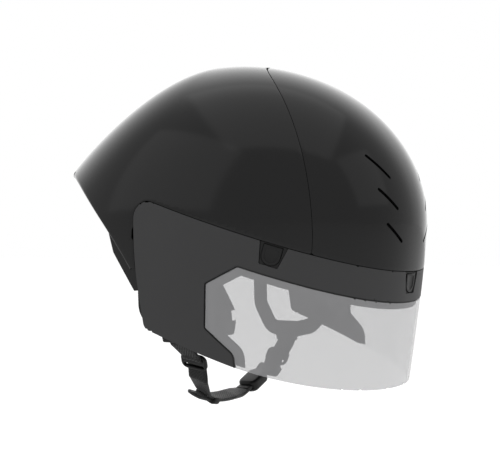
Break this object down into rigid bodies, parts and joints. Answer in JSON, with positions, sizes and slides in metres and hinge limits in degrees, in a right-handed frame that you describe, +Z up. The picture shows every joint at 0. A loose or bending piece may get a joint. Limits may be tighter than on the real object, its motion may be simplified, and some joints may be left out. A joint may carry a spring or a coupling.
{
  "type": "time trial helmet",
  "caption": "Aero time trial helmet with a short tail, a full wrap visor held by magnets, a dial-adjusted head cradle and a buckled chin strap.",
  "frame": {"origin": "middle of the wearer's head at the height of the temples", "axes": "-Y is where the wearer looks, +X is the wearer's left, +Z is up"},
  "size_m": [0.2014, 0.2741, 0.247],
  "materials": {
    "gloss_shell": "glossy clear-coated black",
    "satin_skin": "satin black",
    "liner_foam": "fine closed-cell foam, matte",
    "pad_cloth": "knitted cloth over soft foam",
    "webbing": "woven webbing",
    "chin_leather": "soft faux leather with a low sheen",
    "black_plastic": "moulded, fine satin",
    "dial_rubber": "ribbed, matte",
    "visor_matte": "matte dark grey paint",
    "smoke_lens": "clear light smoke, polished",
    "seal_rubber": "matte black",
    "bezel_grey": "satin grey",
    "cap_plastic": "satin",
    "magnet_nickel": "bright nickel plate",
    "pin_steel": "blackened steel"
  },
  "bodies": {
    "shell": {"front_shell": "gloss_shell", "rear_shell": "gloss_shell", "lower_shell": "satin_skin", "foam_liner": "liner_foam", "brow_pad": "pad_cloth", "crown_pad": "pad_cloth", "left_side_pad": "pad_cloth", "right_side_pad": "pad_cloth", "rear_pad": "pad_cloth", "shell_magnets": "magnet_nickel", "strap_anchors": "pin_steel", "left_strap": "webbing", "right_strap": "webbing", "left_divider": "black_plastic", "right_divider": "black_plastic", "left_lower_strap": "webbing", "right_lower_strap": "webbing", "left_ladder": "black_plastic", "right_ladder": "black_plastic", "buckle_bracket": "black_plastic", "buckle_socket": "black_plastic", "strap_keeper": "black_plastic", "left_pivot": "pin_steel", "right_pivot": "pin_steel"},
    "visor": {"visor_frame": "visor_matte", "visor_lens": "smoke_lens", "lens_seal": "seal_rubber", "lens_bezel": "bezel_grey", "magnet_cap_left": "cap_plastic", "magnet_cap_right": "cap_plastic", "magnet_cap_front": "cap_plastic", "visor_magnets": "magnet_nickel"},
    "chin": {"chin_strap": "chin_leather", "buckle_tongue": "black_plastic"},
    "left_arm_body": {"left_arm": "black_plastic"},
    "right_arm_body": {"right_arm": "black_plastic"},
    "yoke": {"cradle_yoke": "black_plastic", "dial_housing": "black_plastic", "nape_pads": "pad_cloth", "cradle_screws": "pin_steel"},
    "dial": {"dial_knob": "dial_rubber", "dial_spool": "black_plastic"}
  },
  "joints": [
    {"name": "visor_release", "type": "slide", "parent": "shell", "child": "visor", "axis": [0, -0.9063, -0.4226], "range_m": [0, 0.25]},
    {"name": "cradle_height", "type": "hinge", "parent": "shell", "child": "left_arm_body", "pos_m": [0, -0.036, 0.012], "axis": [1, 0, 0], "range_deg": [-8, 8]},
    {"name": "right_arm_height", "type": "hinge", "parent": "shell", "child": "right_arm_body", "pos_m": [0, -0.036, 0.012], "axis": [1, 0, 0], "range_deg": [-8, 8]},
    {"name": "band_tension", "type": "slide", "parent": "left_arm_body", "child": "yoke", "axis": [0, -0.9925, 0.1219], "range_m": [0, 0.01]},
    {"name": "dial_turn", "type": "hinge", "parent": "yoke", "child": "dial", "pos_m": [0, 0.08311, -0.00262], "axis": [0, 0.9925, -0.1219], "range_deg": [0, 540]},
    {"name": "buckle_release", "type": "hinge", "parent": "shell", "child": "chin", "pos_m": [-0.003, 0.033, 0.02], "axis": [0, 1, 0], "range_deg": [0, 8]}
  ],
  "couplings": [
    {"joint": "right_arm_height", "follows": "cradle_height", "ratio": 1},
    {"joint": "band_tension", "follows": "dial_turn", "m_per_rad": 0.001061}
  ]
}
